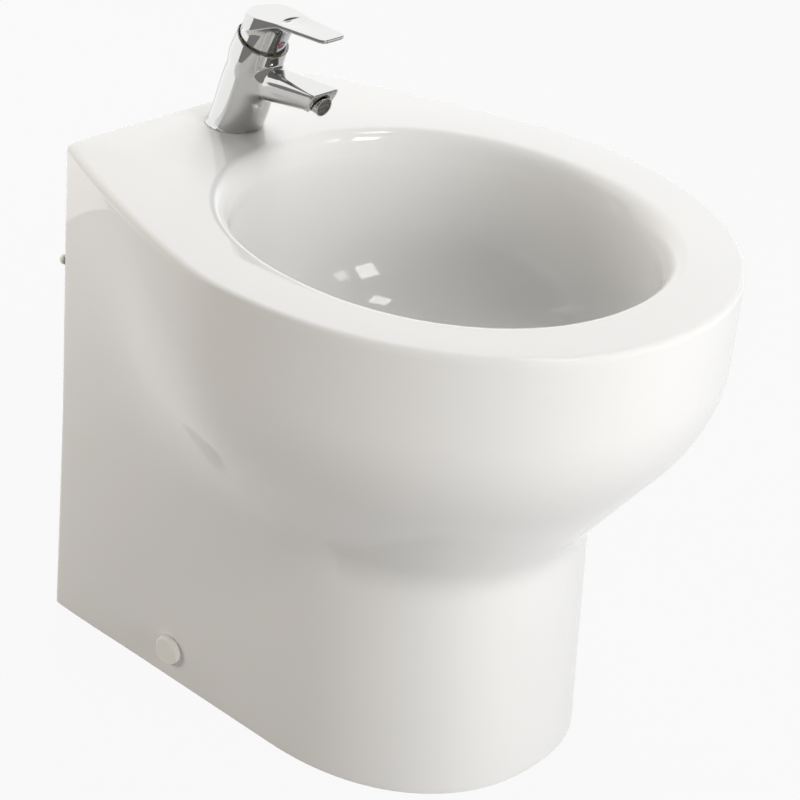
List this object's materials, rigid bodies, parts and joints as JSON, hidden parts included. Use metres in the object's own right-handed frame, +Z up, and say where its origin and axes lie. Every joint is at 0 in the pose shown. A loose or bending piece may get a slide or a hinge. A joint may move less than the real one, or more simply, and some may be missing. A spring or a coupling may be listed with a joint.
{
  "type": "bidet",
  "caption": "Floor-standing glazed ceramic bidet with an oval bowl, a flared shell to the wall, a single-lever mixer tap with a swivelling nozzle, a press-down plug and a bottle trap.",
  "frame": {"origin": "centre of the whole outline on the floor, wall pads included", "axes": "+X to the user's right when facing the wall, +Y towards the wall, +Z up"},
  "size_m": [0.394, 0.468, 0.4875],
  "materials": {
    "china": "gloss",
    "chrome_plate": "polished",
    "turned_brass": "turned",
    "zinc_steel": "zinc plated",
    "black_rubber": "matte",
    "white_plastic": "satin",
    "grey_plastic": "moulded",
    "disc_ceramic": "lapped",
    "red_mark": "gloss",
    "blue_mark": "gloss"
  },
  "bodies": {
    "root": {"ceramic_body": "china", "ceramic_deck": "china", "ceramic_bowl": "china", "floor_bracket_left": "zinc_steel", "floor_bracket_right": "zinc_steel", "side_screws": "zinc_steel", "screw_bushes": "grey_plastic", "screw_caps": "white_plastic", "wall_pads": "white_plastic", "tap_body": "chrome_plate", "tap_base_seal": "black_rubber", "fixing_stud": "turned_brass", "fixing_pad": "black_rubber", "fixing_plate": "zinc_steel", "fixing_nut": "turned_brass", "cartridge_housing": "white_plastic", "fixed_disc": "disc_ceramic", "cartridge_nut": "turned_brass", "waste_flange": "chrome_plate", "flange_seal": "black_rubber", "tail_gasket": "black_rubber", "tail_washer": "white_plastic", "tail_nut": "turned_brass", "plug_latch": "grey_plastic", "trap_inlet_nut": "white_plastic", "trap_inlet_washer": "black_rubber", "trap_body": "white_plastic", "trap_cup": "white_plastic", "trap_cup_seal": "black_rubber", "trap_outlet_nut": "white_plastic", "trap_outlet_washer": "black_rubber", "outlet_pipe": "white_plastic"},
    "turn": {"turning_yoke": "grey_plastic", "pivot_pin": "zinc_steel"},
    "lever": {"lever": "chrome_plate", "lever_stem": "turned_brass", "lever_screw": "zinc_steel", "hot_marker": "red_mark", "cold_marker": "blue_mark"},
    "disc": {"moving_disc": "disc_ceramic", "disc_carrier": "grey_plastic"},
    "ring": {"nozzle_ring": "chrome_plate"},
    "nozzle": {"ball_nozzle": "chrome_plate", "aerator": "black_rubber"},
    "plug": {"waste_plug": "chrome_plate", "plug_seal": "black_rubber"}
  },
  "joints": [
    {"name": "lever_turn", "type": "hinge", "parent": "root", "child": "turn", "pos_m": [0, 0.16223, 0.46572], "axis": [0, -0.4226, 0.9063], "range_deg": [-45, 45]},
    {"name": "lever_lift", "type": "hinge", "parent": "turn", "child": "lever", "pos_m": [0, 0.16223, 0.46572], "axis": [-1, 0, 0], "range_deg": [0, 25]},
    {"name": "disc_slide", "type": "slide", "parent": "turn", "child": "disc", "axis": [0, -0.9063, -0.4226], "range_m": [0, 0.00716]},
    {"name": "nozzle_turn", "type": "hinge", "parent": "root", "child": "ring", "pos_m": [0, 0.1085, 0.4335], "axis": [0, -0.9781, -0.2079], "range_deg": [-90, 90]},
    {"name": "nozzle_tilt", "type": "hinge", "parent": "ring", "child": "nozzle", "pos_m": [0, 0.1085, 0.4335], "axis": [1, 0, 0], "range_deg": [0, 15]},
    {"name": "plug_press", "type": "slide", "parent": "root", "child": "plug", "axis": [0, 0, 1], "range_m": [-0.008, 0]}
  ],
  "couplings": [
    {"joint": "disc_slide", "follows": "lever_lift", "m_per_rad": 0.01637}
  ]
}
